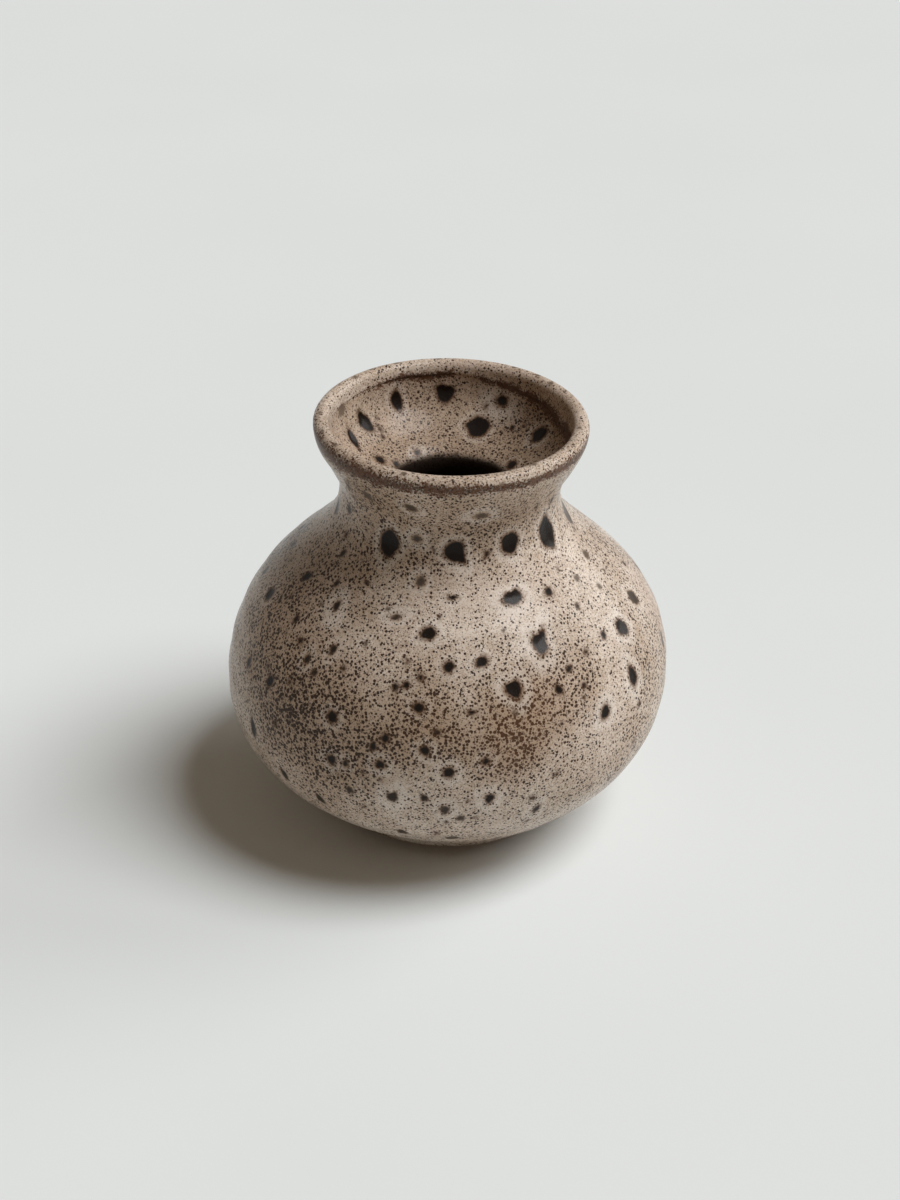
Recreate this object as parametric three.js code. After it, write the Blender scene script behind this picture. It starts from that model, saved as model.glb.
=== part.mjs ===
// A small hand-thrown stoneware bud vase: a round belly, a pinched-in collar and a flared mouth
// with a rolled lip. It is glazed outside and inside, and left bare on its foot ring.
//
// Millimetres, +Z up. The origin is the centre of the foot ring, on the surface the vase stands on.
// The vase is one thrown pot under two coats of glaze, so it is three bodies of revolution:
//   stoneware_body  the fired clay wall with its trimmed foot ring
//   outer_glaze     the dipped coat, from just above the foot, over the lip, to the overlap line
//   liner_glaze     the poured coat, from the overlap line inside the mouth to the inside floor

import * as THREE from 'three';

// ---- driving dimensions -------------------------------------------------------------------------

const vaseHeight = 87.9;
const bellyRadius = 45;        // widest point of the glazed vase
const bellyHeight = 31;
const waistRadius = 21.9;      // narrowest point of the collar, outside
const waistHeight = 72.5;
const rimRadius = 27;          // outermost point of the lip
const lipRollRadius = 1.6;

const overlapHeight = 84.6;    // where the two coats meet, just inside the lip
const throatRadius = 12.2;     // narrowest point of the way in
const throatHeight = 71.4;
const cavityRadius = 40.2;     // hollow belly
const cavityHeight = 32;
const floorHeight = 6;         // inside floor

const glazeEdgeRadius = 24.9;  // where the outer coat stops above the foot
const glazeEdgeHeight = 2;
const footRadius = 22;
const footRingWidth = 4;
const footRecess = 1.8;
const footBevel = 0.6;

const glazeThickness = 0.5;
const coatGap = 0.3;           // clearance that keeps the three bodies apart

const facets = 48;             // round the vertical axis

// ---- helpers ------------------------------------------------------------------------------------

// Profile points are (radius, height), listed so that the solid lies on their left.
function point(radius, height) {
  return new THREE.Vector2(radius, height);
}

// A cubic curve between two points, with a handle at each end.
function sweep(start, startHandle, end, endHandle) {
  const firstControl = start.clone().add(startHandle);
  const secondControl = end.clone().add(endHandle);
  return new THREE.CubicBezierCurve(start, firstControl, secondControl, end);
}

// Points along curves laid end to end. Each stretch is [curve, number of steps].
function trace(...stretches) {
  const points = [stretches[0][0].getPoint(0)];
  for (const [curve, steps] of stretches) {
    points.push(...curve.getPoints(steps).slice(1));
  }
  return points;
}

// The same line moved into the solid by a distance, each point along its own normal.
function moveIn(points, distance) {
  return points.map((here, i) => {
    const before = points[Math.max(i - 1, 0)];
    const after = points[Math.min(i + 1, points.length - 1)];
    const along = after.clone().sub(before).normalize();
    const radius = here.x - along.y * distance;
    return point(here.x === 0 ? 0 : radius, here.y + along.x * distance);
  });
}

// Turns a profile into a body of revolution. It starts and ends on the axis, or is closed here.
function revolve(profile) {
  const closed = profile[0].x > 0 ? [...profile, profile[0].clone()] : profile;
  return new THREE.LatheGeometry(closed, facets).rotateX(Math.PI / 2);
}

// ---- the finished surface, from the glaze's edge over the lip to the inside floor ---------------

const glazeEdge = point(glazeEdgeRadius, glazeEdgeHeight);
const belly = point(bellyRadius, bellyHeight);
const waist = point(waistRadius, waistHeight);
const rim = point(rimRadius, vaseHeight - lipRollRadius);
const lipCentre = point(rimRadius - lipRollRadius, vaseHeight - lipRollRadius);
const lipInside = point(lipCentre.x - lipRollRadius, lipCentre.y);
const overlap = point(lipInside.x, overlapHeight);
const throat = point(throatRadius, throatHeight);
const cavity = point(cavityRadius, cavityHeight);
const floorCentre = point(0, floorHeight);

const lowerBelly = sweep(glazeEdge, point(8.3, 8.4), belly, point(0, -16));
const shoulder = sweep(belly, point(0, 25.2), waist, point(0, -14));
const flare = sweep(waist, point(0, 5.6), rim, point(0, -4.8));
const lipRoll = new THREE.EllipseCurve(
  lipCentre.x, lipCentre.y, lipRollRadius, lipRollRadius, 0, Math.PI, false);
const mouthEdge = new THREE.LineCurve(lipInside, overlap);
const outerLine = trace([lowerBelly, 7], [shoulder, 10], [flare, 4], [lipRoll, 6], [mouthEdge, 1]);

const funnel = sweep(overlap, point(-0.3, -9), throat, point(0, 3));
const underShoulder = sweep(throat, point(0, -10.5), cavity, point(0, 19));
const bowl = sweep(cavity, point(0, -15), floorCentre, point(24, 0));
const innerLine = trace([funnel, 5], [underShoulder, 6], [bowl, 6]);

// ---- the three bodies ---------------------------------------------------------------------------

// The clay lies under both coats; below the glaze it steps in to a bevelled ring round a recess.
function stonewareBody() {
  const recessRadius = footRadius - footRingWidth;
  const foot = [
    point(0, footRecess),
    point(recessRadius - footBevel, footRecess),
    point(recessRadius, footBevel),
    point(recessRadius + footBevel, 0),
    point(footRadius - footBevel, 0),
    point(footRadius, footBevel),
    point(footRadius + footBevel / 2, glazeEdgeHeight),
  ];
  const underGlaze = moveIn([...outerLine, ...innerLine.slice(1)], glazeThickness + coatGap);
  return revolve([...foot, ...underGlaze]);
}

function outerGlaze() {
  return revolve([...outerLine, ...moveIn(outerLine, glazeThickness).reverse()]);
}

// The liner's top edge is drawn down a little from the overlap line, clear of the outer coat.
function linerGlaze() {
  const surface = [point(overlap.x, overlapHeight - coatGap), ...innerLine.slice(1)];
  return revolve([...moveIn(surface, glazeThickness).reverse(), ...surface]);
}

// ---- the vase -----------------------------------------------------------------------------------

const clay = new THREE.MeshStandardMaterial({ color: '#b59f88', roughness: 0.85, metalness: 0 });
const satinGlaze = new THREE.MeshStandardMaterial({ color: '#b3a294', roughness: 0.35, metalness: 0 });
const thinGlaze = new THREE.MeshStandardMaterial({ color: '#a3917f', roughness: 0.4, metalness: 0 });

const vase = new THREE.Group();

function addPart(name, geometry, material) {
  const mesh = new THREE.Mesh(geometry, material);
  mesh.name = name;
  vase.add(mesh);
}

addPart('stoneware_body', stonewareBody(), clay);
addPart('outer_glaze', outerGlaze(), satinGlaze);
addPart('liner_glaze', linerGlaze(), thinGlaze);

export default vase;
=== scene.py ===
"""A small hand-thrown stoneware bud vase under a speckled satin glaze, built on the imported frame.

Shapes are worked out in millimetres on the vase's own profile, the line that runs from the edge of
the outer glaze up the wall, over the lip and down inside to the middle of the floor. A place on the
vase is an azimuth, from the -Y side towards +X, and a distance along that line. Lists give azimuths
in degrees, and the functions take them in radians.
"""

import math

import bpy
import numpy as np
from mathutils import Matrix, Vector


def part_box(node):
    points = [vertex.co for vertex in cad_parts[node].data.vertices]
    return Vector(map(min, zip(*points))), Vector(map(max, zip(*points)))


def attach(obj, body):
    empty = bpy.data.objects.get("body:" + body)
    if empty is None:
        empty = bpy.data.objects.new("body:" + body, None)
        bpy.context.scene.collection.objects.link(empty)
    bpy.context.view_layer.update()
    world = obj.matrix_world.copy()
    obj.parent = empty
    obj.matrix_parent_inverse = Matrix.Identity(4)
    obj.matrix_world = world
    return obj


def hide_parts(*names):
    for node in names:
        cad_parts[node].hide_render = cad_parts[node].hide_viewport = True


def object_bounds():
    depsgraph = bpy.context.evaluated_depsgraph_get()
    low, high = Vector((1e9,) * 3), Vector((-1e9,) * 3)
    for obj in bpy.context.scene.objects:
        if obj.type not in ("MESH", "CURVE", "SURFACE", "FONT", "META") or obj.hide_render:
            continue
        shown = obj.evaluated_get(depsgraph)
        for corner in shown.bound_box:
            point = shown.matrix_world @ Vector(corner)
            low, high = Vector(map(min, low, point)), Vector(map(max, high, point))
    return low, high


MM = 0.001
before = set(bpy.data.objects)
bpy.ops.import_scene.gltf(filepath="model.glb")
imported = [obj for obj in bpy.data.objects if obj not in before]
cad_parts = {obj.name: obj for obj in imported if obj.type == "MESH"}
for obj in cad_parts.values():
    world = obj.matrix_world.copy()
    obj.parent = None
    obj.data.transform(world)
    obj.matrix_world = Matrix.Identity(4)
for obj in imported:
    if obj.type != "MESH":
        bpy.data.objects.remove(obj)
CAD_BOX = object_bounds()

# ---- driving dimensions, in millimetres ----------------------------------------------------------

BELLY_RADIUS = CAD_BOX[1].x / MM
VASE_HEIGHT = CAD_BOX[1].z / MM
GLAZE_EDGE = (24.9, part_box("outer_glaze")[0].z / MM)
BELLY = (BELLY_RADIUS, 31.0)
WAIST = (21.9, 72.5)
LIP_ROLL = 1.6
RIM = (27.0, VASE_HEIGHT - LIP_ROLL)
OVERLAP_HEIGHT = 84.6
THROAT = (12.2, 71.4)
CAVITY = (40.2, 32.0)
INSIDE_FLOOR = (0.0, 6.0)
FOOT_RADIUS = 22.0
FOOT_RING = 4.0
FOOT_RECESS = 1.8
GLAZE = 0.5

COLUMNS = 400          # facets round the vertical axis
FINE = 0.56            # row spacing where the surface shows
COARSE = 4.0           # row spacing on the hidden back of a coat

rng = np.random.default_rng(7)


# ---- the profile ---------------------------------------------------------------------------------

def sweep(start, start_handle, end, end_handle, steps=200):
    """Points on a cubic curve between two points, with a handle at each end."""
    t = np.linspace(0, 1, steps)[:, None]
    a, d = np.array(start, float), np.array(end, float)
    b, c = a + start_handle, d + end_handle
    return a * (1 - t) ** 3 + 3 * b * t * (1 - t) ** 2 + 3 * c * t * t * (1 - t) + d * t**3


def half_turn(centre, radius, steps=60):
    """The top half of a circle, from its outer side over to its inner side."""
    turn = np.linspace(0, math.pi, steps)
    return np.array(centre) + radius * np.stack([np.cos(turn), np.sin(turn)], 1)


def lengths(line):
    """Distance along a line of points, from its start."""
    return np.r_[0, np.cumsum(np.hypot(*np.diff(line, axis=0).T))]


class Profile:
    """The finished surface's line, which gives a point and a normal at any distance along it."""

    def __init__(self):
        roll_centre = (RIM[0] - LIP_ROLL, RIM[1])
        lip_inside = (RIM[0] - 2 * LIP_ROLL, RIM[1])
        overlap = (lip_inside[0], OVERLAP_HEIGHT)
        outside = [
            sweep(GLAZE_EDGE, (8.3, 8.4), BELLY, (0, -16)),
            sweep(BELLY, (0, 25.2), WAIST, (0, -14)),
            sweep(WAIST, (0, 5.6), RIM, (0, -4.8)),
            half_turn(roll_centre, LIP_ROLL),
        ]
        inside = [
            np.array([lip_inside, overlap]),
            sweep(overlap, (-0.3, -9), THROAT, (0, 3)),
            sweep(THROAT, (0, -10.5), CAVITY, (0, 19)),
            sweep(CAVITY, (0, -15), INSIDE_FLOOR, (24, 0)),
        ]
        line = np.concatenate(outside + inside)
        keep = np.r_[True, np.hypot(*np.diff(line, axis=0).T) > 1e-6]
        self.line = line[keep]
        self.at = lengths(self.line)
        self.top = self.at[self.line[:, 1].argmax()]
        self.end = self.at[-1]
        self.overlap = self.inside(OVERLAP_HEIGHT)

    def point(self, s):
        return np.stack([np.interp(s, self.at, self.line[:, k]) for k in (0, 1)], -1)

    def normal(self, s, reach=0.4):
        """Unit normal out of the clay, as (radius, height)."""
        s = np.clip(s, 0, self.end)
        along = self.point(np.minimum(s + reach, self.end)) - self.point(np.maximum(s - reach, 0))
        along /= np.linalg.norm(along, axis=-1, keepdims=True)
        return np.stack([along[..., 1], -along[..., 0]], -1)

    def outside(self, height):
        part = self.at <= self.top
        return np.interp(height, self.line[part, 1], self.at[part])

    def inside(self, height):
        part = self.at >= self.top
        return np.interp(height, self.line[part, 1][::-1], self.at[part][::-1])


profile = Profile()


# ---- what the potter's hands left ----------------------------------------------------------------

def smooth(low, high, x):
    t = np.clip((x - low) / (high - low), 0, 1)
    return t * t * (3 - 2 * t)


def wander(azimuth, waves):
    """A smooth closed wave round the vase: each wave is (turns, amount, phase in degrees)."""
    return sum(a * np.cos(n * azimuth + math.radians(p)) for n, a, p in waves)


def bump(azimuth, middle, spread):
    """1 at the middle, near 0 past twice the spread from it; both of these are in degrees."""
    off = (azimuth - math.radians(middle) + math.pi) % math.tau - math.pi
    return np.exp(-((off / math.radians(spread)) ** 2))


THROWING_PITCH = 6.5
THROWING_DEPTH = 0.07


def ripples(azimuth, s):
    """Finger marks that climb the wall in one spiral, deeper in some places than in others."""
    phase = 2 * math.pi * s / THROWING_PITCH - azimuth
    uneven = 0.6 + 0.4 * np.sin(2 * azimuth + s / 9.0)
    lumps = 0.10 * np.sin(3 * azimuth + s / 14) + 0.07 * np.sin(5 * azimuth - s / 8 + 1)
    fade = smooth(0, 12, s) * smooth(0, 10, np.abs(s - profile.top))
    return (THROWING_DEPTH * np.sin(phase) * uneven + lumps) * fade


RIM_TILT = math.radians(1.2)


def by_hand(x, y, z):
    """Moves points off true: a tilted rim, a belly fuller on its lower left, an axis that leans."""
    rise = smooth(50, 80, z)
    left = smooth(0.2, 1.0, -x / BELLY_RADIUS) * np.exp(-(((z - 22) / 16) ** 2))
    right = smooth(0.2, 1.0, x / BELLY_RADIUS) * np.exp(-(((z - 20) / 14) ** 2))
    new_x = x - 0.8 * left - 0.4 * right - 0.2 + 0.45 * rise
    new_z = z - math.tan(RIM_TILT) * x * rise
    return new_x, y, new_z


OVERLAP_WAVES = [(2, 0.12, 0), (5, 0.18, 10), (9, 0.14, 60), (14, 0.09, 200)]


def overlap_line(azimuth):
    """Distance along the profile at which the outer coat ends inside the mouth: it ran down on the
    right, and stops high on the back left."""
    runs = 2.4 * bump(azimuth, 98, 32) - 1.3 * bump(azimuth, -160, 50)
    return profile.overlap + 0.4 + runs + wander(azimuth, OVERLAP_WAVES)


# ---- iron spots ----------------------------------------------------------------------------------

# A spot's outline is an oval with bulges and dents: (direction, amount, spread), in degrees from the
# right, counter-clockwise as the spot is seen.
SHAPES = {
    "oval": [(200, 0.08, 40), (20, -0.06, 40)],
    "drop": [(-90, 0.35, 26)],
    "pear": [(85, -0.16, 45), (250, 0.12, 50)],
    "leaf": [(90, 0.26, 26), (-90, 0.24, 26)],
    "kidney": [(90, -0.40, 28), (0, 0.08, 30), (180, 0.08, 30)],
    "heart": [(90, -0.36, 20), (-90, 0.30, 24)],
    "tailed": [(-48, 0.52, 16)],
    "wedge": [(20, 0.26, 32), (160, 0.24, 32), (-90, -0.12, 40)],
    "star": [(95, 0.12, 22), (10, 0.14, 22), (-60, 0.12, 20), (-120, 0.12, 20), (172, 0.18, 18)],
    "wye": [(58, 0.70, 21), (128, 0.22, 22), (-105, 0.35, 30), (5, -0.25, 26), (92, -0.25, 12)],
    "notched": [(60, 0.24, 26), (150, 0.22, 26), (105, -0.25, 18), (-90, 0.16, 30)],
}

# Each spot: azimuth, height, width, height of the spot, lean to the right, shape, fade (0 is black
# and glassy, 1 is a faint grey ghost under the glaze) and the width of the pale halo round it.
COLLAR_SPOTS = [
    (-32, 70.0, 4.2, 5.0, 0, "drop", 0.00, 0.9),
    (2, 70.0, 4.0, 4.3, 0, "tailed", 0.00, 0.8),
    (31, 70.5, 3.9, 4.4, 12, "pear", 0.00, 1.0),
    (56, 69.0, 4.6, 6.2, -6, "leaf", 0.05, 1.0),
    (88, 67.0, 4.0, 4.6, 0, "leaf", 0.50, 0.0),
    (-82, 69.0, 2.6, 3.2, 0, "leaf", 0.30, 0.0),
    (-64, 72.0, 1.6, 2.2, 0, "drop", 0.40, 0.0),
    (-41, 79.5, 2.2, 3.2, -35, "oval", 0.55, 0.0),
    (-18, 80.0, 2.2, 3.0, -60, "oval", 0.50, 0.8),
    (-17, 72.0, 1.9, 1.7, 0, "oval", 0.50, 1.0),
    (14, 78.5, 2.8, 1.9, 10, "oval", 0.55, 2.0),
    (52, 79.0, 1.4, 2.6, 40, "oval", 0.60, 0.0),
]
SHOULDER_SPOTS = [
    (-13, 64.5, 2.0, 2.2, 0, "oval", 0.50, 0.9),
    (1, 62.5, 1.9, 1.3, 0, "kidney", 0.25, 1.0),
    (26, 61.5, 3.9, 3.3, 0, "kidney", 0.05, 2.2),
    (42, 60.5, 1.8, 2.0, -10, "oval", 0.10, 0.0),
    (59, 60.0, 1.8, 1.6, 0, "oval", 0.60, 0.0),
    (75, 61.0, 2.4, 2.0, -30, "oval", 0.60, 0.0),
    (-37, 62.5, 1.7, 1.2, 10, "kidney", 0.35, 0.0),
    (-50, 60.5, 1.3, 1.9, 0, "oval", 0.35, 0.0),
    (-57, 64.5, 1.4, 1.9, 20, "drop", 0.35, 0.0),
    (-66, 58.5, 1.9, 3.0, 40, "oval", 0.25, 0.0),
    (-44, 58.0, 1.6, 2.3, -10, "drop", 0.35, 1.9),
    (-20, 59.0, 1.9, 1.4, -15, "wedge", 0.40, 1.2),
    (-7, 57.5, 2.6, 2.8, 70, "drop", 0.05, 1.0),
    (50, 57.0, 1.4, 1.6, 0, "drop", 0.40, 0.0),
    (66, 57.0, 1.6, 1.4, 0, "oval", 0.60, 0.0),
    (30, 54.5, 3.1, 3.8, 6, "wye", 0.00, 2.4),
    (10, 53.5, 2.6, 2.1, -25, "oval", 0.05, 0.9),
    (-56, 53.5, 1.5, 2.0, 0, "oval", 0.30, 0.0),
    (0, 53.0, 2.0, 2.3, 10, "star", 0.08, 0.6),
    (-76, 52.5, 3.0, 3.0, 40, "oval", 0.20, 0.8),
    (-37, 52.5, 1.7, 2.2, 10, "drop", 0.35, 0.6),
    (53, 51.5, 1.7, 1.9, 0, "oval", 0.30, 0.0),
    (77, 51.5, 3.2, 3.4, -20, "leaf", 0.45, 0.8),
    (62, 50.5, 3.3, 3.6, -10, "oval", 0.05, 1.8),
    (-12, 50.0, 1.6, 1.5, 0, "oval", 0.10, 0.4),
]
BELLY_SPOTS = [
    (-44, 49.5, 1.5, 2.3, 0, "oval", 0.35, 0.8),
    (36, 49.5, 1.6, 1.8, 0, "wedge", 0.35, 0.0),
    (-15, 49.5, 1.4, 1.8, -20, "drop", 0.25, 0.0),
    (18, 49.0, 3.2, 3.4, -15, "heart", 0.00, 1.8),
    (-40, 48.0, 1.5, 1.8, 0, "wedge", 0.35, 0.0),
    (31, 47.0, 1.6, 2.4, -25, "oval", 0.15, 0.0),
    (-8, 46.5, 2.0, 2.2, 0, "wedge", 0.10, 0.4),
    (39, 46.0, 1.4, 1.6, 0, "oval", 0.30, 0.0),
    (6, 46.0, 1.8, 1.4, 0, "kidney", 0.25, 0.0),
    (-54, 42.5, 2.1, 2.7, 10, "oval", 0.15, 0.0),
    (57, 42.5, 2.6, 3.5, 0, "leaf", 0.00, 1.8),
    (-3, 42.5, 1.4, 1.4, 0, "oval", 0.20, 0.0),
    (-66, 42.0, 1.6, 2.8, 0, "oval", 0.35, 0.0),
    (-31, 42.0, 2.3, 2.4, 0, "oval", 0.05, 0.8),
    (81, 40.5, 2.0, 3.6, 0, "leaf", 0.50, 0.0),
    (-16, 40.5, 1.8, 2.0, 0, "oval", 0.15, 0.0),
    (44, 39.5, 2.4, 2.9, 15, "oval", 0.05, 1.7),
    (-6, 39.0, 1.9, 2.3, -35, "heart", 0.25, 1.0),
    (-19, 38.5, 1.6, 2.2, 0, "oval", 0.30, 0.0),
    (9, 36.5, 1.6, 1.6, 0, "star", 0.25, 0.5),
    (-17, 35.0, 2.3, 1.9, 0, "oval", 0.28, 1.2),
    (0, 34.5, 2.4, 2.3, 30, "oval", 0.22, 1.6),
    (-30, 33.5, 2.2, 1.9, 0, "drop", 0.20, 1.0),
    (-26, 33.5, 1.6, 1.6, 0, "oval", 0.30, 0.6),
    (-59, 30.0, 2.2, 4.2, -15, "leaf", 0.20, 0.0),
    (-6, 28.5, 1.6, 2.3, -35, "oval", 0.35, 0.0),
    (-14, 28.0, 2.3, 2.7, 0, "notched", 0.38, 1.6),
    (10, 28.0, 2.1, 2.2, 10, "drop", 0.28, 1.5),
    (-25, 27.5, 1.7, 2.2, -40, "oval", 0.40, 0.0),
    (-1, 25.5, 2.0, 2.4, 10, "drop", 0.42, 1.3),
    (-47, 23.5, 2.0, 3.0, -20, "leaf", 0.35, 0.0),
    (3, 23.0, 1.8, 2.2, -35, "oval", 0.45, 0.0),
    (23, 22.5, 1.5, 2.2, 15, "oval", 0.15, 1.2),
    (-35, 21.5, 1.9, 2.8, -30, "leaf", 0.35, 0.0),
    (-13, 16.5, 2.2, 2.8, -25, "oval", 0.40, 0.0),
    (1, 14.5, 3.0, 3.2, 0, "oval", 0.45, 0.0),
    (33, 12.5, 5.5, 4.5, 0, "oval", 0.70, 0.0),
]
MOUTH_SPOTS = [
    (-177, 81.5, 4.1, 3.6, 12, "heart", 0.00, 0.0),
    (163, 76.3, 4.6, 4.4, 0, "star", 0.00, 0.5),
    (-151, 81.0, 2.7, 3.8, 0, "drop", 0.10, 0.6),
    (-127, 79.2, 3.2, 4.2, -10, "leaf", 0.05, 0.0),
    (153, 81.0, 2.4, 2.3, 0, "oval", 0.10, 2.8),
    (122, 78.2, 3.2, 3.9, 15, "oval", 0.05, 0.8),
    (142, 77.3, 1.3, 1.4, 0, "oval", 0.30, 0.0),
    (-111, 78.3, 2.2, 4.0, 20, "leaf", 0.20, 0.0),
    (-113, 84.0, 3.0, 2.4, 0, "oval", 0.75, 0.0),
    (-114, 74.4, 2.0, 2.4, 0, "oval", 0.10, 0.0),
    (119, 73.5, 2.4, 2.2, 0, "oval", 0.00, 0.3),
    (-150, 73.3, 1.5, 1.4, 0, "oval", 0.20, 0.6),
    (-124, 73.0, 1.6, 1.5, 0, "oval", 0.10, 0.0),
]
LIP_SPOT_AZIMUTHS = [-174, -154, -141, -130, -90, -73, -59, -20, 38, 80, 127, 137, 150]
FAR = 3.0              # how far from any spot its field stops mattering


class Spots:
    """Iron spots on the profile's surface, and the fields that they spread round themselves."""

    def __init__(self):
        self.rows = []
        for az, height, *rest in COLLAR_SPOTS + SHOULDER_SPOTS + BELLY_SPOTS:
            self.add(math.radians(az), profile.outside(height), *rest)
        for az, height, *rest in MOUTH_SPOTS:
            self.add(math.radians(az), profile.inside(height), *rest)
        for az in LIP_SPOT_AZIMUTHS:
            at = profile.top + rng.uniform(-0.6, 0.5)
            self.add(math.radians(az), at, 1.4, 1.1, 0, "oval", 0.6, 0)
        self.scatter_all()

    def add(self, azimuth, s, width, tall, lean, shape, fade, halo):
        waves = [(n, rng.uniform(0.02, 0.055), rng.uniform(0, 360)) for n in (2, 3, 5)]
        self.rows.append((azimuth, s, width / 2, tall / 2, math.radians(lean), shape, fade, halo, waves))

    def free(self, azimuth, s, radius, gap):
        """True if a new spot of that radius keeps that gap to every other."""
        r = profile.point(s)[0]
        for other in self.rows:
            across = (r + profile.point(other[1])[0]) / 2 * math.remainder(azimuth - other[0], math.tau)
            if math.hypot(across, s - other[1]) < radius + max(other[2], other[3]) + gap:
                return False
        return True

    def scatter(self, count, start, end, size, middle=0.0, reach=math.pi, gap=0.8):
        """Adds random spots between two distances along the profile and within reach of an azimuth."""
        widest = profile.line[:, 0].max()
        made, tries = 0, 0
        while made < count and tries < 60 * count:
            tries += 1
            s, azimuth = rng.uniform(start, end), middle + rng.uniform(-reach, reach)
            width = size[0] * (size[1] / size[0]) ** (rng.random() ** 1.8)
            if rng.random() * widest > profile.point(s)[0] or not self.free(azimuth, s, width / 2, gap):
                continue
            shape = rng.choice(["oval", "oval", "drop", "kidney", "wedge", "heart", "star", "leaf"])
            fade = float(np.clip(rng.normal(0.25, 0.18), 0, 0.7))
            halo = width * rng.uniform(0.3, 0.8) if width > 1.8 and rng.random() < 0.6 else 0.0
            tall = width * rng.uniform(0.85, 1.35)
            self.add(azimuth, s, width, tall, rng.uniform(-45, 45), str(shape), fade, halo)
            made += 1

    def scatter_all(self):
        """The sides that no list covers get the same mix; everywhere gets the small ones."""
        shoulder, mouth = profile.outside(66), profile.inside(76)
        back = dict(middle=math.pi, reach=math.radians(88))
        for azimuth in range(112, 249, 34):
            middle = math.radians(azimuth)
            self.scatter(1, shoulder, profile.outside(72), (3.6, 5.0), middle, 0.15, 1.0)
        self.scatter(34, profile.outside(14), shoulder, (1.9, 3.6), gap=2.6, **back)
        self.scatter(45, profile.outside(10), profile.outside(80), (1.2, 2.0), gap=1.2, **back)
        self.scatter(5, profile.inside(83), mouth, (2.4, 4.4), 0.0, math.radians(95), 1.6)
        self.scatter(130, profile.outside(7), profile.outside(83), (0.8, 1.25), gap=0.9)
        self.scatter(24, profile.inside(83.5), profile.inside(71), (0.7, 1.2), gap=0.7)

    def fields(self, azimuth, s):
        """For points on the surface: distance outside the nearest spot, its fade, halo and dimple."""
        edge = np.full(azimuth.shape, FAR)
        fade = np.zeros(azimuth.shape)
        halo = np.zeros(azimuth.shape)
        dimple = np.zeros(azimuth.shape)
        radius = profile.point(s)[..., 0]
        for az, at, half_w, half_t, lean, shape, spot_fade, spot_halo, waves in self.rows:
            reach = 1.9 * max(half_w, half_t) + FAR
            turn = (azimuth - az + math.pi) % math.tau - math.pi
            near = (np.abs(s - at) < reach) & (np.abs(turn) * radius < reach)
            if not near.any():
                continue
            seen = -1.0 if at > profile.top else 1.0
            u = seen * turn[near] * (radius[near] + profile.point(at)[0]) / 2
            v = seen * (s[near] - at)
            right = u * math.cos(lean) - v * math.sin(lean)
            up = u * math.sin(lean) + v * math.cos(lean)
            round_ = np.hypot(right / half_w, up / half_t)
            direction = np.arctan2(up / half_t, right / half_w)
            outline = 1 + wander(direction, waves)
            for toward, amount, spread in SHAPES[shape]:
                off = (direction - math.radians(toward) + math.pi) % math.tau - math.pi
                outline = outline + amount * np.exp(-((off / math.radians(spread)) ** 2))
            size = math.sqrt(half_w * half_t)
            away = np.clip((round_ / outline - 1) * size, -size, FAR)
            nearest = away < edge[near]
            fade[near] = np.where(nearest, spot_fade, fade[near])
            pale = smooth(0.2, 0.9, away) * (1 - smooth(0.6 * spot_halo, spot_halo + 1.3, away))
            halo[near] = np.maximum(halo[near], pale * (spot_halo > 0))
            sunk = 0.085 * size * (1 - spot_fade) * (1 - smooth(-0.9 * size, 0.25, away))
            dimple[near] = np.maximum(dimple[near], sunk)
            edge[near] = np.minimum(edge[near], away)
        return edge, fade, halo, dimple


spots = Spots()


# ---- broad variation of the glaze ----------------------------------------------------------------

# Clouds in the glaze: azimuth, height, spread in mm, how much thicker the pepper lies there (below
# 0 is sparser and paler), and how rusty it is.
CLOUDS = [
    (-46, 42, 12, 2.3, 0.0),
    (-66, 55, 11, 1.2, 0.0),
    (-22, 41, 8, 1.2, 0.1),
    (-4, 44, 8, 1.2, 0.5),
    (22, 45, 9, 1.6, 0.9),
    (14, 38, 7, 1.1, 0.6),
    (-30, 31, 7, 0.8, 0.0),
    (-48, 78, 10, 0.9, 0.1),
    (-16, 77, 9, 0.9, 0.1),
    (20, 77, 9, 0.9, 0.2),
    (55, 78, 10, 0.5, 0.1),
    (-38, 67, 8, 0.5, 0.0),
    (10, 59, 12, -0.5, 0.0),
    (50, 60, 13, -0.5, 0.0),
    (-42, 57, 6, -0.5, 0.0),
    (45, 28, 14, -0.3, 0.0),
    (0, 20, 12, -0.2, 0.0),
    (-32, 19, 10, -0.1, 0.0),
]
BACK_CLOUDS = 12


def surface_point(azimuth, height):
    s = profile.outside(height)
    r, z = profile.point(s)
    return np.array([r * math.sin(azimuth), -r * math.cos(azimuth), z])


def cloud_fields(points):
    """Pepper and rust at each point, from the listed clouds and from random ones behind."""
    listed = [(math.radians(az), height, *rest) for az, height, *rest in CLOUDS]
    for _ in range(BACK_CLOUDS):
        azimuth = math.pi + rng.uniform(-1.5, 1.5)
        amount = rng.uniform(-0.7, 0.9)
        rust = max(0.0, rng.uniform(-1.2, 1.0)) * (amount > 0)
        listed.append((azimuth, rng.uniform(18, 76), rng.uniform(7, 13), amount, rust))
    pepper = np.zeros(points.shape[:-1])
    rusty = np.zeros(points.shape[:-1])
    for azimuth, height, spread, amount, rust in listed:
        distance = np.linalg.norm(points - surface_point(azimuth, height), axis=-1)
        weight = np.exp(-((distance / spread) ** 2))
        pepper += amount * weight
        rusty += rust * weight
    return pepper, rusty


LIP_LINE_HEIGHT = 85.6         # the brown line low on the lip's roll, where the glaze broke thin


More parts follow.
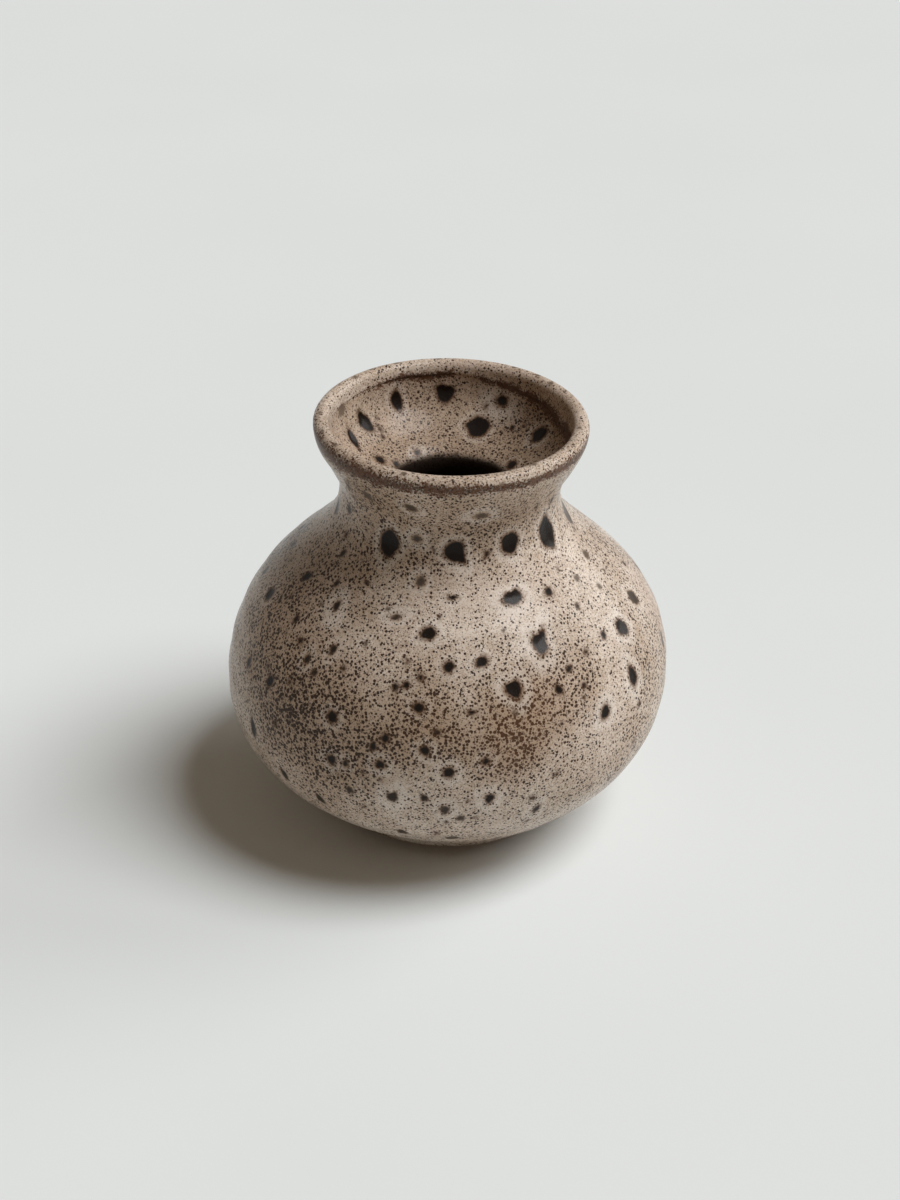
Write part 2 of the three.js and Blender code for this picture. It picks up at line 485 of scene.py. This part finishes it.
def lip_line_field(azimuth, s):
    """Distance from the brown line under the lip, in widths of the line there."""
    middle = profile.outside(LIP_LINE_HEIGHT)
    middle = middle + wander(azimuth, [(1, 0.12, 60), (3, 0.08, 0), (7, 0.05, 0)])
    width = 0.9 + 1.3 * bump(azimuth, -68, 52) + 0.6 * bump(azimuth, 75, 40)
    return (s - middle) / (width + wander(azimuth, [(2, 0.06, 30), (5, 0.06, 0)]))


def overlap_strength(azimuth):
    """How dark the overlap line is: plain at the back and the right, faint at the left and front."""
    plain = bump(azimuth, -165, 30) + bump(azimuth, 130, 42) + bump(azimuth, 85, 25)
    return np.clip(plain - 0.9 * bump(azimuth, 174, 5), 0.15, 1)


# ---- meshes --------------------------------------------------------------------------------------

def in_space(azimuth, s, depth):
    """Points on the vase: depth is how far out of the finished surface, along its normal."""
    flat = profile.point(s) + profile.normal(s) * (depth + ripples(azimuth, s))[..., None]
    radius = np.maximum(flat[..., 0], 0)
    x, y, z = by_hand(radius * np.sin(azimuth), -radius * np.cos(azimuth), flat[..., 1])
    return np.stack([x, y, z], -1)


def grid_faces(rows, columns, first, last, ring):
    """Quads between rows of a grid that closes round the axis; first and last are pole vertices."""
    faces = []
    for i in range(rows if ring else rows - 1):
        here, above = i * columns, (i + 1) % rows * columns
        for j in range(columns):
            k = (j + 1) % columns
            faces.append((here + j, here + k, above + k, above + j))
    for pole, row, turned in ((first, 0, True), (last, rows - 1, False)):
        if pole is None:
            continue
        for j in range(columns):
            a, b = row * columns + j, row * columns + (j + 1) % columns
            faces.append((pole, b, a) if turned else (pole, a, b))
    return faces


def closed_mesh(name, points, poles=()):
    """A mesh from rows of points in mm. It closes on two poles, or from the last row to the first."""
    rows, columns = points.shape[:2]
    flat = [*points.reshape(-1, 3), *poles]
    ends = (rows * columns, rows * columns + 1) if len(poles) else (None, None)
    mesh = bpy.data.meshes.new(name)
    faces = grid_faces(rows, columns, *ends, ring=not len(poles))
    mesh.from_pydata([tuple(p * MM) for p in flat], [], faces)
    mesh.polygons.foreach_set("use_smooth", [True] * len(mesh.polygons))
    mesh.update()
    piece = bpy.data.objects.new(name, mesh)
    bpy.context.scene.collection.objects.link(piece)
    return piece


def store(piece, name, values):
    """Keeps one number per vertex on the mesh; a pole takes the mean of the row next to it."""
    flat = values.reshape(-1)
    count = len(piece.data.vertices) - flat.size
    tail = [values[0].mean(), values[-1].mean()][:count]
    attribute = piece.data.attributes.new(name, "FLOAT", "POINT")
    attribute.data.foreach_set("value", np.r_[flat, tail].astype(np.float32))


def coat(name, s, depth, azimuth, poles=()):
    """A piece of glaze: rows of (distance along the profile, depth), dimpled by its iron spots."""
    edge, fade, halo, dimple = spots.fields(azimuth, s)
    shown = depth > -GLAZE / 2
    points = in_space(azimuth, s, depth - dimple * shown)
    piece = closed_mesh(name, points, poles)
    pepper, rusty = cloud_fields(points)
    lap = (s - overlap_line(azimuth) - 0.2) / (1.1 + 0.9 * bump(azimuth, 95, 36))
    # Painted shade mask: 1 below the throat, where the glaze is painted near-black for the dark of the
    # hollow.
    throat_painted_shade = smooth(profile.inside(THROAT[1] + 2.2), profile.inside(THROAT[1] - 0.4), s)
    store(piece, "spot_edge", edge)
    store(piece, "spot_fade", fade)
    store(piece, "halo", halo)
    store(piece, "pepper", pepper)
    store(piece, "rust", rusty)
    store(piece, "lip_line", np.exp(-(lip_line_field(azimuth, s) ** 2)))
    store(piece, "overlap", np.exp(-(lap**2)) * overlap_strength(azimuth))
    store(piece, "throat_painted_shade", throat_painted_shade)
    return piece


def columns_of(count):
    return np.linspace(-math.pi, math.pi, count, endpoint=False)[None, :]


def spread(start, end, spacing):
    """Shares from 0 to 1 that step along a stretch with about that spacing."""
    return np.linspace(0, 1, max(2, round((end - start) / spacing) + 1))[:, None]


def outer_glaze():
    """The dipped coat: a thick rounded edge at the foot, and a raised wavy one inside the mouth."""
    azimuth = columns_of(COLUMNS)
    end = overlap_line(azimuth)
    foot_edge = 0.45 + 0.3 * np.cos(3 * azimuth) * np.sin(2 * azimuth + 1)
    share = spread(0, profile.overlap, FINE)
    s = foot_edge + share * (end - foot_edge)
    bead = 0.22 * np.exp(-(((s - foot_edge) / 1.3) ** 2)) + 0.16 * np.exp(-(((end - s) / 0.7) ** 2))
    turn = np.radians([45, 90, 135])[:, None]
    inner_edge = (end + 0.12 * np.sin(turn), 0.05 + 0.1 * np.cos(turn) + 0 * azimuth)
    under = (end - spread(0, profile.overlap, COARSE) * (end - foot_edge))
    under_depth = -GLAZE + (GLAZE - 0.05) * smooth(-2.4, -1.2, under - end)
    foot_turn = (foot_edge - 0.35 * np.sin(turn), -0.14 - 0.36 * np.cos(turn[::-1]) + 0 * azimuth)
    s = np.concatenate([s, inner_edge[0], under, foot_turn[0]])
    depth = np.concatenate([bead, inner_edge[1], under_depth, foot_turn[1]])
    return coat("outer_glaze_coat", s, depth, azimuth + 0 * s)


def liner_glaze():
    """The poured coat: it starts under the outer one's edge and runs down to the inside floor."""
    azimuth = columns_of(COLUMNS)
    start = overlap_line(azimuth) - 1.0
    throat = profile.inside(THROAT[1] - 6)
    near = start + spread(profile.overlap, throat, FINE) * (throat - start)
    far = throat + spread(throat, profile.end - 1, 1.4)[1:] * (profile.end - 1 - throat)
    front = np.concatenate([near, far + 0 * azimuth])
    back_share = spread(profile.overlap, profile.end - 1, COARSE)[::-1]
    back = start + back_share * (profile.end - 1 - start)
    depth = -0.13 * (1 - smooth(0, 0.9, front - start))
    s = np.concatenate([back, front])
    depth = np.concatenate([-GLAZE + 0 * back, depth])
    floor_height = INSIDE_FLOOR[1]
    poles = np.array([(0, 0, floor_height - GLAZE), (0, 0, floor_height)])
    return coat("liner_glaze_coat", s, depth, azimuth + 0 * s, poles)


FOOT_BEVEL = 0.7
FOOT_ROUNDING = 1.4            # how far the inner edge of the ring is rounded over


def stoneware_body():
    """The clay: a trimmed foot ring round a turned recess, then the wall that hides under the coats."""
    columns = 220
    azimuth = columns_of(columns)
    inner = FOOT_RADIUS - FOOT_RING
    recess = inner - FOOT_ROUNDING
    flat_end = (FOOT_RADIUS - FOOT_BEVEL, 0)
    bevel_end = (FOOT_RADIUS, FOOT_BEVEL)
    under_glaze = (GLAZE_EDGE[0] + 0.1, GLAZE_EDGE[1] + 0.35)
    outline = np.concatenate([
        np.stack([np.linspace(1, recess, 34), np.full(34, FOOT_RECESS)], 1),
        sweep((recess, FOOT_RECESS), (1.2, 0), (inner + FOOT_BEVEL, 0), (-0.7, 0), 10),
        sweep((inner + FOOT_ROUNDING, 0), (0.5, 0), flat_end, (-0.5, 0), 5),
        sweep(flat_end, (0.5, 0), bevel_end, (0, -0.5), 6)[1:],
        sweep(bevel_end, (0, 0.7), under_glaze, (-0.9, -0.8), 9)[1:],
    ])
    radius, height = outline[:, :1], outline[:, 1:]
    turned = 0.07 * np.sin(math.tau * (radius / 1.9 + azimuth / math.tau)) * (radius < recess)
    radius_grid = radius + 0.12 * np.cos(2 * azimuth + 0.5) * (radius > inner - 1.5)
    x, y = radius_grid * np.sin(azimuth), -radius_grid * np.cos(azimuth)
    foot = np.stack([x, y, height + turned + 0 * x], -1)
    s = 1.0 + spread(0, profile.end - 2, COARSE) * (profile.end - 2) + 0 * azimuth
    wall = in_space(azimuth + 0 * s, s, np.full(s.shape, -GLAZE + 0.02))
    points = np.concatenate([foot, wall])
    poles = np.array([(0, 0, FOOT_RECESS), (0, 0, INSIDE_FLOOR[1] - GLAZE + 0.02)])
    return closed_mesh("stoneware_clay", points, poles)


# ---- materials -----------------------------------------------------------------------------------

class Graph:
    """A material's nodes. Each call adds a node and gives its result; plain numbers may stand in."""

    def __init__(self, name):
        self.material = bpy.data.materials.new(name)
        self.material.use_nodes = True
        self.nodes = self.material.node_tree.nodes
        self.links = self.material.node_tree.links
        self.shader = self.nodes["Principled BSDF"]

    def feed(self, socket, value):
        if isinstance(value, bpy.types.NodeSocket):
            self.links.new(value, socket)
        elif socket.type == "RGBA":
            socket.default_value = (*value, 1)
        else:
            socket.default_value = value

    def node(self, kind, inputs, **settings):
        node = self.nodes.new("ShaderNode" + kind)
        for key, value in settings.items():
            setattr(node, key, value)
        for key, value in inputs.items():
            self.feed(node.inputs[key], value)
        return node

    def math(self, operation, a, b=0.0):
        return self.node("Math", {0: a, 1: b}, operation=operation).outputs[0]

    def plus(self, first, *others):
        for other in others:
            first = self.math("ADD", first, other)
        return first

    def times(self, first, *others):
        for other in others:
            first = self.math("MULTIPLY", first, other)
        return first

    def step(self, value, low, high, at_low=0.0, at_high=1.0):
        """A smooth step of a value, from one level below low to another above high."""
        inputs = {"Value": value, "From Min": low, "From Max": high, "To Min": at_low, "To Max": at_high}
        return self.node("MapRange", inputs, interpolation_type="SMOOTHSTEP").outputs[0]

    def mix(self, factor, a, b):
        return self.node("Mix", {0: factor, 6: a, 7: b}, data_type="RGBA").outputs[2]

    def centred(self, value):
        """A noise of 0 to 1, moved to lie round 0."""
        return self.math("SUBTRACT", value, 0.5)

    def attribute(self, name):
        return self.node("Attribute", {}, attribute_name=name).outputs["Fac"]

    def millimetres(self):
        place = self.node("TexCoord", {}).outputs["Object"]
        return self.node("VectorMath", {0: place, "Scale": 1 / MM}, operation="SCALE").outputs[0]

    def height(self, place):
        return self.node("SeparateXYZ", {0: place}).outputs["Z"]

    def noise(self, place, scale, detail=2.0, colour=False):
        inputs = {"Vector": place, "Scale": scale, "Detail": detail}
        return self.node("TexNoise", inputs).outputs["Color" if colour else "Fac"]

    def bend(self, place, scale, amount):
        """Places pushed about by a noise, so that round dots turn out irregular."""
        push = self.node("VectorMath", {0: self.noise(place, scale, 1, True), 1: (0.5, 0.5, 0.5)},
                         operation="SUBTRACT").outputs[0]
        push = self.node("VectorMath", {0: push, "Scale": amount}, operation="SCALE").outputs[0]
        return self.node("VectorMath", {0: place, 1: push}, operation="ADD").outputs[0]

    def cells(self, place, scale):
        """Distance to the nearest of scattered points, in cells, and a random number for each."""
        cell = self.node("TexVoronoi", {"Vector": place, "Scale": scale})
        chance = self.node("SeparateColor", {0: cell.outputs["Color"]}).outputs[0]
        return cell.outputs["Distance"], chance

    def dots(self, place, scale, radius, share, soft):
        """Scattered dots: radius in cells, the share of the cells that have one, and a soft edge."""
        distance, chance = self.cells(place, scale)
        radius = self.plus(radius, self.times(self.centred(chance), 0.2))
        dot = self.step(self.math("SUBTRACT", distance, radius), -soft, soft, 1, 0)
        return self.times(dot, self.step(chance, share - 0.02, share, 1, 0))

    def frayed_band(self, name, frayed, low, high):
        """A band stored on the mesh, with a noise that frays its edges and is nothing outside it."""
        band = self.attribute(name)
        return self.step(self.plus(band, self.times(frayed, self.step(band, 0.0, 0.3))), low, high)

    def finish(self, colour, roughness, height, distance):
        bump = self.node("Bump", {"Strength": 1.0, "Distance": distance * MM, "Height": height})
        self.feed(self.shader.inputs["Base Color"], colour)
        self.feed(self.shader.inputs["Roughness"], roughness)
        self.feed(self.shader.inputs["Normal"], bump.outputs[0])
        return self.material


IRON_BLACK = (0.010, 0.006, 0.004)
IRON_BROWN = (0.085, 0.042, 0.021)
GHOST_GREY = (0.17, 0.125, 0.09)
SPECK_BROWN = (0.028, 0.013, 0.007)
RUST = (0.26, 0.125, 0.06)
RUST_SPECK = (0.085, 0.033, 0.012)
BURNT_DARK = (0.016, 0.007, 0.004)
BURNT_RED = (0.105, 0.042, 0.019)
PINK = (0.60, 0.47, 0.39)
MILK = (0.80, 0.74, 0.68)
# Painted shade: a near-black colour painted into the glaze below the throat, for the dark of the hollow.
THROAT_PAINTED_SHADE = (0.010, 0.005, 0.003)


def glaze_material(name, cream, shade, pepper_bias):
    """Cream glaze over iron-bearing clay: milky clouds, pepper, glassy iron spots, brown thin edges, and
    near-black painted shade below the throat.
    """
    g = Graph(name)
    place = g.millimetres()
    bent = g.bend(place, 1.1, 0.45)
    halo = g.attribute("halo")
    rust = g.attribute("rust")
    clouds = g.centred(g.noise(place, 0.09, 3))
    mottle = g.centred(g.noise(bent, 0.42, 4))
    grain = g.centred(g.noise(place, 1.9, 3))
    net = g.centred(g.noise(bent, 2.6, 2))
    pepper = g.plus(g.attribute("pepper"), pepper_bias, g.times(clouds, 3.2), g.times(mottle, 1.6))

    # The ground: cream, browner where the pepper lies thick, pinker or rustier in patches.
    milky = g.mix(g.step(g.plus(g.times(pepper, -0.2), g.times(mottle, 0.8)), -0.4, 0.2), shade, cream)
    pink = g.step(g.noise(place, 0.055, 2), 0.42, 0.62, 0, 0.3)
    ground = g.mix(pink, milky, PINK)
    ground = g.mix(g.times(g.step(rust, 0.1, 1.0), g.step(mottle, -0.15, 0.12), 0.5), ground, RUST)
    ground = g.mix(g.step(g.plus(net, g.times(pepper, 0.06)), -0.1, 0.14, 0, 0.75), ground, shade)
    ground = g.mix(g.times(halo, 0.38), ground, MILK)

    # The pepper: dots of three sizes, thinner inside the pale rings.
    thick = g.plus(pepper, g.times(halo, -0.9))
    rounder = g.bend(place, 1.7, 0.1)
    high = g.step(g.height(place), 60, 73)
    fine = g.dots(rounder, 2.5, g.plus(0.28, g.times(thick, 0.075), g.times(high, 0.02)), 1.1, 0.06)
    middling = g.dots(rounder, 1.4, g.plus(0.30, g.times(thick, 0.085), g.times(high, -0.065)), 1.1, 0.04)
    coarse = g.dots(bent, 0.8, g.plus(0.23, g.times(thick, 0.04)), 0.5, 0.03)
    speck = g.math("MAXIMUM", g.times(fine, 0.7), g.math("MAXIMUM", g.times(middling, 1.0), coarse))
    speck_colour = g.mix(g.step(rust, 0.1, 1.0, 0, 0.7), SPECK_BROWN, RUST_SPECK)
    colour = g.mix(g.times(speck, 0.95), ground, speck_colour)

    # The iron spots: a black glassy middle that bleeds brown, or a grey ghost under the glaze.
    ragged = g.plus(g.times(g.centred(g.noise(place, 1.4, 2)), 0.42), g.times(grain, 0.28))
    edge = g.plus(g.attribute("spot_edge"), ragged, 0.14)
    fade = g.attribute("spot_fade")
    strong = g.step(fade, 0.0, 0.45, 1, 0.15)
    aura = g.times(g.step(edge, 0.0, 1.25, 1, 0), g.step(g.plus(net, grain), -0.25, 0.2, 0.35, 1), strong)
    colour = g.mix(g.times(aura, 0.8), colour, IRON_BROWN)
    fringe = g.step(edge, -0.15, g.plus(0.42, g.times(fade, 0.05)), 1, 0)
    colour = g.mix(g.times(fringe, 0.85), colour, g.mix(g.step(fade, 0.3, 0.65), IRON_BROWN, GHOST_GREY))
    solid = g.step(edge, g.plus(-0.25, g.times(fade, -0.4)), 0.14, 1, 0)
    ghost = g.mix(g.step(fade, 0.25, 0.85), IRON_BLACK, GHOST_GREY)
    colour = g.mix(g.times(solid, g.step(fade, 0.3, 1, 1, 0.55)), colour, ghost)

    # Thin glaze breaks brown on the lip and along the overlap. Below the throat the glaze is painted
    # near-black: painted shade for the dark of the hollow.
    frayed = g.plus(g.times(mottle, 1.3), g.times(grain, 0.9), g.times(net, 1.2), g.times(speck, 0.4))
    thin = g.frayed_band("lip_line", frayed, 0.22, 0.95)
    seam = g.frayed_band("overlap", frayed, 0.28, 0.85)
    burnt = g.mix(g.step(g.plus(mottle, net), -0.25, 0.15), BURNT_DARK, BURNT_RED)
    colour = g.mix(g.times(g.math("MAXIMUM", thin, seam), 0.9), colour, burnt)
    # Painted shade: the glaze below the throat is painted near-black and made rougher.
    throat_painted_shade = g.frayed_band("throat_painted_shade", g.plus(g.times(mottle, 0.5), g.times(grain, 0.3)), 0.1, 0.85)
    colour = g.mix(g.times(throat_painted_shade, 0.97), colour, THROAT_PAINTED_SHADE)

    dark = g.math("MAXIMUM", solid, g.times(speck, 0.25))
    roughness = g.plus(g.step(mottle, -0.2, 0.2, 0.46, 0.38), g.times(dark, -0.06))
    roughness = g.plus(roughness, g.times(thin, 0.1), g.times(throat_painted_shade, 0.4))
    height = g.plus(g.times(g.noise(place, 0.75, 2), 0.9), g.times(grain, 0.25), g.times(speck, -0.3))
    height = g.plus(height, g.times(solid, -0.3), g.times(thin, -0.4))
    g.shader.inputs["IOR"].default_value = 1.45
    g.shader.inputs["Specular IOR Level"].default_value = 0.08
    g.shader.inputs["Coat Weight"].default_value = 0.4
    g.shader.inputs["Coat IOR"].default_value = 1.25
    g.shader.inputs["Coat Roughness"].default_value = 0.14
    return g.finish(colour, roughness, height, 0.10)


def clay_material():
    """Fired iron-bearing clay, trimmed with a tool: toasted, gritty, dotted with iron."""
    g = Graph("bare toasted stoneware")
    place = g.millimetres()
    clouds = g.noise(place, 0.12, 3)
    grain = g.noise(place, 3.1, 3)
    grit = g.dots(g.bend(place, 1.6, 0.3), 0.9, 0.22, 0.5, 0.04)
    toasted = g.mix(g.step(clouds, 0.35, 0.65), (0.36, 0.24, 0.16), (0.27, 0.155, 0.095))
    colour = g.mix(g.step(grain, 0.35, 0.7), toasted, (0.42, 0.31, 0.22))
    colour = g.mix(g.times(grit, 0.8), colour, (0.07, 0.04, 0.028))
    height = g.plus(grain, g.times(grit, 0.5), g.times(g.noise(place, 0.9, 2), 0.6))
    g.shader.inputs["Specular IOR Level"].default_value = 0.35
    return g.finish(colour, g.step(clouds, 0.3, 0.7, 0.72, 0.82), height, 0.12)


# ---- the vase ------------------------------------------------------------------------------------

def place_piece(piece, node, material):
    piece.data.materials.append(material)
    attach(piece, "root")
    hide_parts(node)


OUTER_CREAM = (0.74, 0.65, 0.565)
OUTER_SHADE = (0.42, 0.305, 0.215)
LINER_CREAM = (0.56, 0.45, 0.355)
LINER_SHADE = (0.34, 0.245, 0.17)

place_piece(outer_glaze(), "outer_glaze",
            glaze_material("speckled cream outer glaze", OUTER_CREAM, OUTER_SHADE, 0.2))
place_piece(liner_glaze(), "liner_glaze",
            glaze_material("speckled cream liner glaze", LINER_CREAM, LINER_SHADE, 0.5))
place_piece(stoneware_body(), "stoneware_body", clay_material())


# ---- floor, light and camera ---------------------------------------------------------------------

def floor_material():
    g = Graph("pale studio floor")
    place = g.millimetres()
    colour = g.mix(g.noise(place, 0.01, 2), (0.79, 0.835, 0.845), (0.83, 0.875, 0.885))
    return g.finish(colour, 0.7, g.noise(place, 1.2, 2), 0.01)


FLOOR_REACH = 6.0      # metres from the vase to each edge of the floor


def studio_floor():
    corners = [(x * FLOOR_REACH, y * FLOOR_REACH, 0) for x, y in ((-1, -1), (1, -1), (1, 1), (-1, 1))]
    mesh = bpy.data.meshes.new("studio_floor")
    mesh.from_pydata(corners, [], [(0, 1, 2, 3)])
    mesh.materials.append(floor_material())
    floor = bpy.data.objects.new("studio_floor", mesh)
    bpy.context.scene.collection.objects.link(floor)


def soft_light(name, direction, strength, spread):
    """A broad even light from far off in a direction; spread is how wide it looks, in degrees."""
    light = bpy.data.lights.new(name, "SUN")
    light.energy = strength
    light.angle = math.radians(spread)
    lamp = bpy.data.objects.new(name, light)
    lamp.rotation_euler = (-Vector(direction)).to_track_quat("-Z", "Y").to_euler()
    bpy.context.scene.collection.objects.link(lamp)


def pale_world(seen, mirrored, given):
    """One tone of backdrop to look at, one for gloss to mirror, and a dim warm light from it."""
    world = bpy.data.worlds.new("studio")
    world.use_nodes = True
    nodes, links = world.node_tree.nodes, world.node_tree.links
    ray = nodes.new("ShaderNodeLightPath")
    mixes = []
    for kind, tone in (("Is Glossy Ray", mirrored), ("Is Camera Ray", seen)):
        mix = nodes.new("ShaderNodeMix")
        mix.data_type = "RGBA"
        mix.inputs[6].default_value = (*given, 1)
        mix.inputs[7].default_value = (*tone, 1)
        links.new(ray.outputs[kind], mix.inputs[0])
        mixes.append(mix)
    links.new(mixes[0].outputs[2], mixes[1].inputs[6])
    links.new(mixes[1].outputs[2], nodes["Background"].inputs["Color"])
    bpy.context.scene.world = world


CAMERA_BACK = 0.4075     # metres
CAMERA_HEIGHT = 0.2929   # metres
CAMERA_LOOKS_DOWN = 31.24


def studio_camera():
    camera = bpy.data.cameras.new("camera")
    camera.lens = 70
    camera.sensor_width = 36
    holder = bpy.data.objects.new("camera", camera)
    holder.location = (0, -CAMERA_BACK, CAMERA_HEIGHT)
    holder.rotation_euler = (math.radians(90 - CAMERA_LOOKS_DOWN), 0, 0)
    bpy.context.scene.collection.objects.link(holder)
    bpy.context.scene.camera = holder


studio_floor()
soft_light("key", (0.50, -0.10, 0.86), 2.35, 31)
soft_light("window", (0.85, 0.34, 0.42), 0.95, 34)
pale_world(seen=(0.60, 0.61, 0.60), mirrored=(0.42, 0.40, 0.37), given=(0.125, 0.096, 0.068))
studio_camera()
bpy.context.scene.view_settings.view_transform = "Standard"
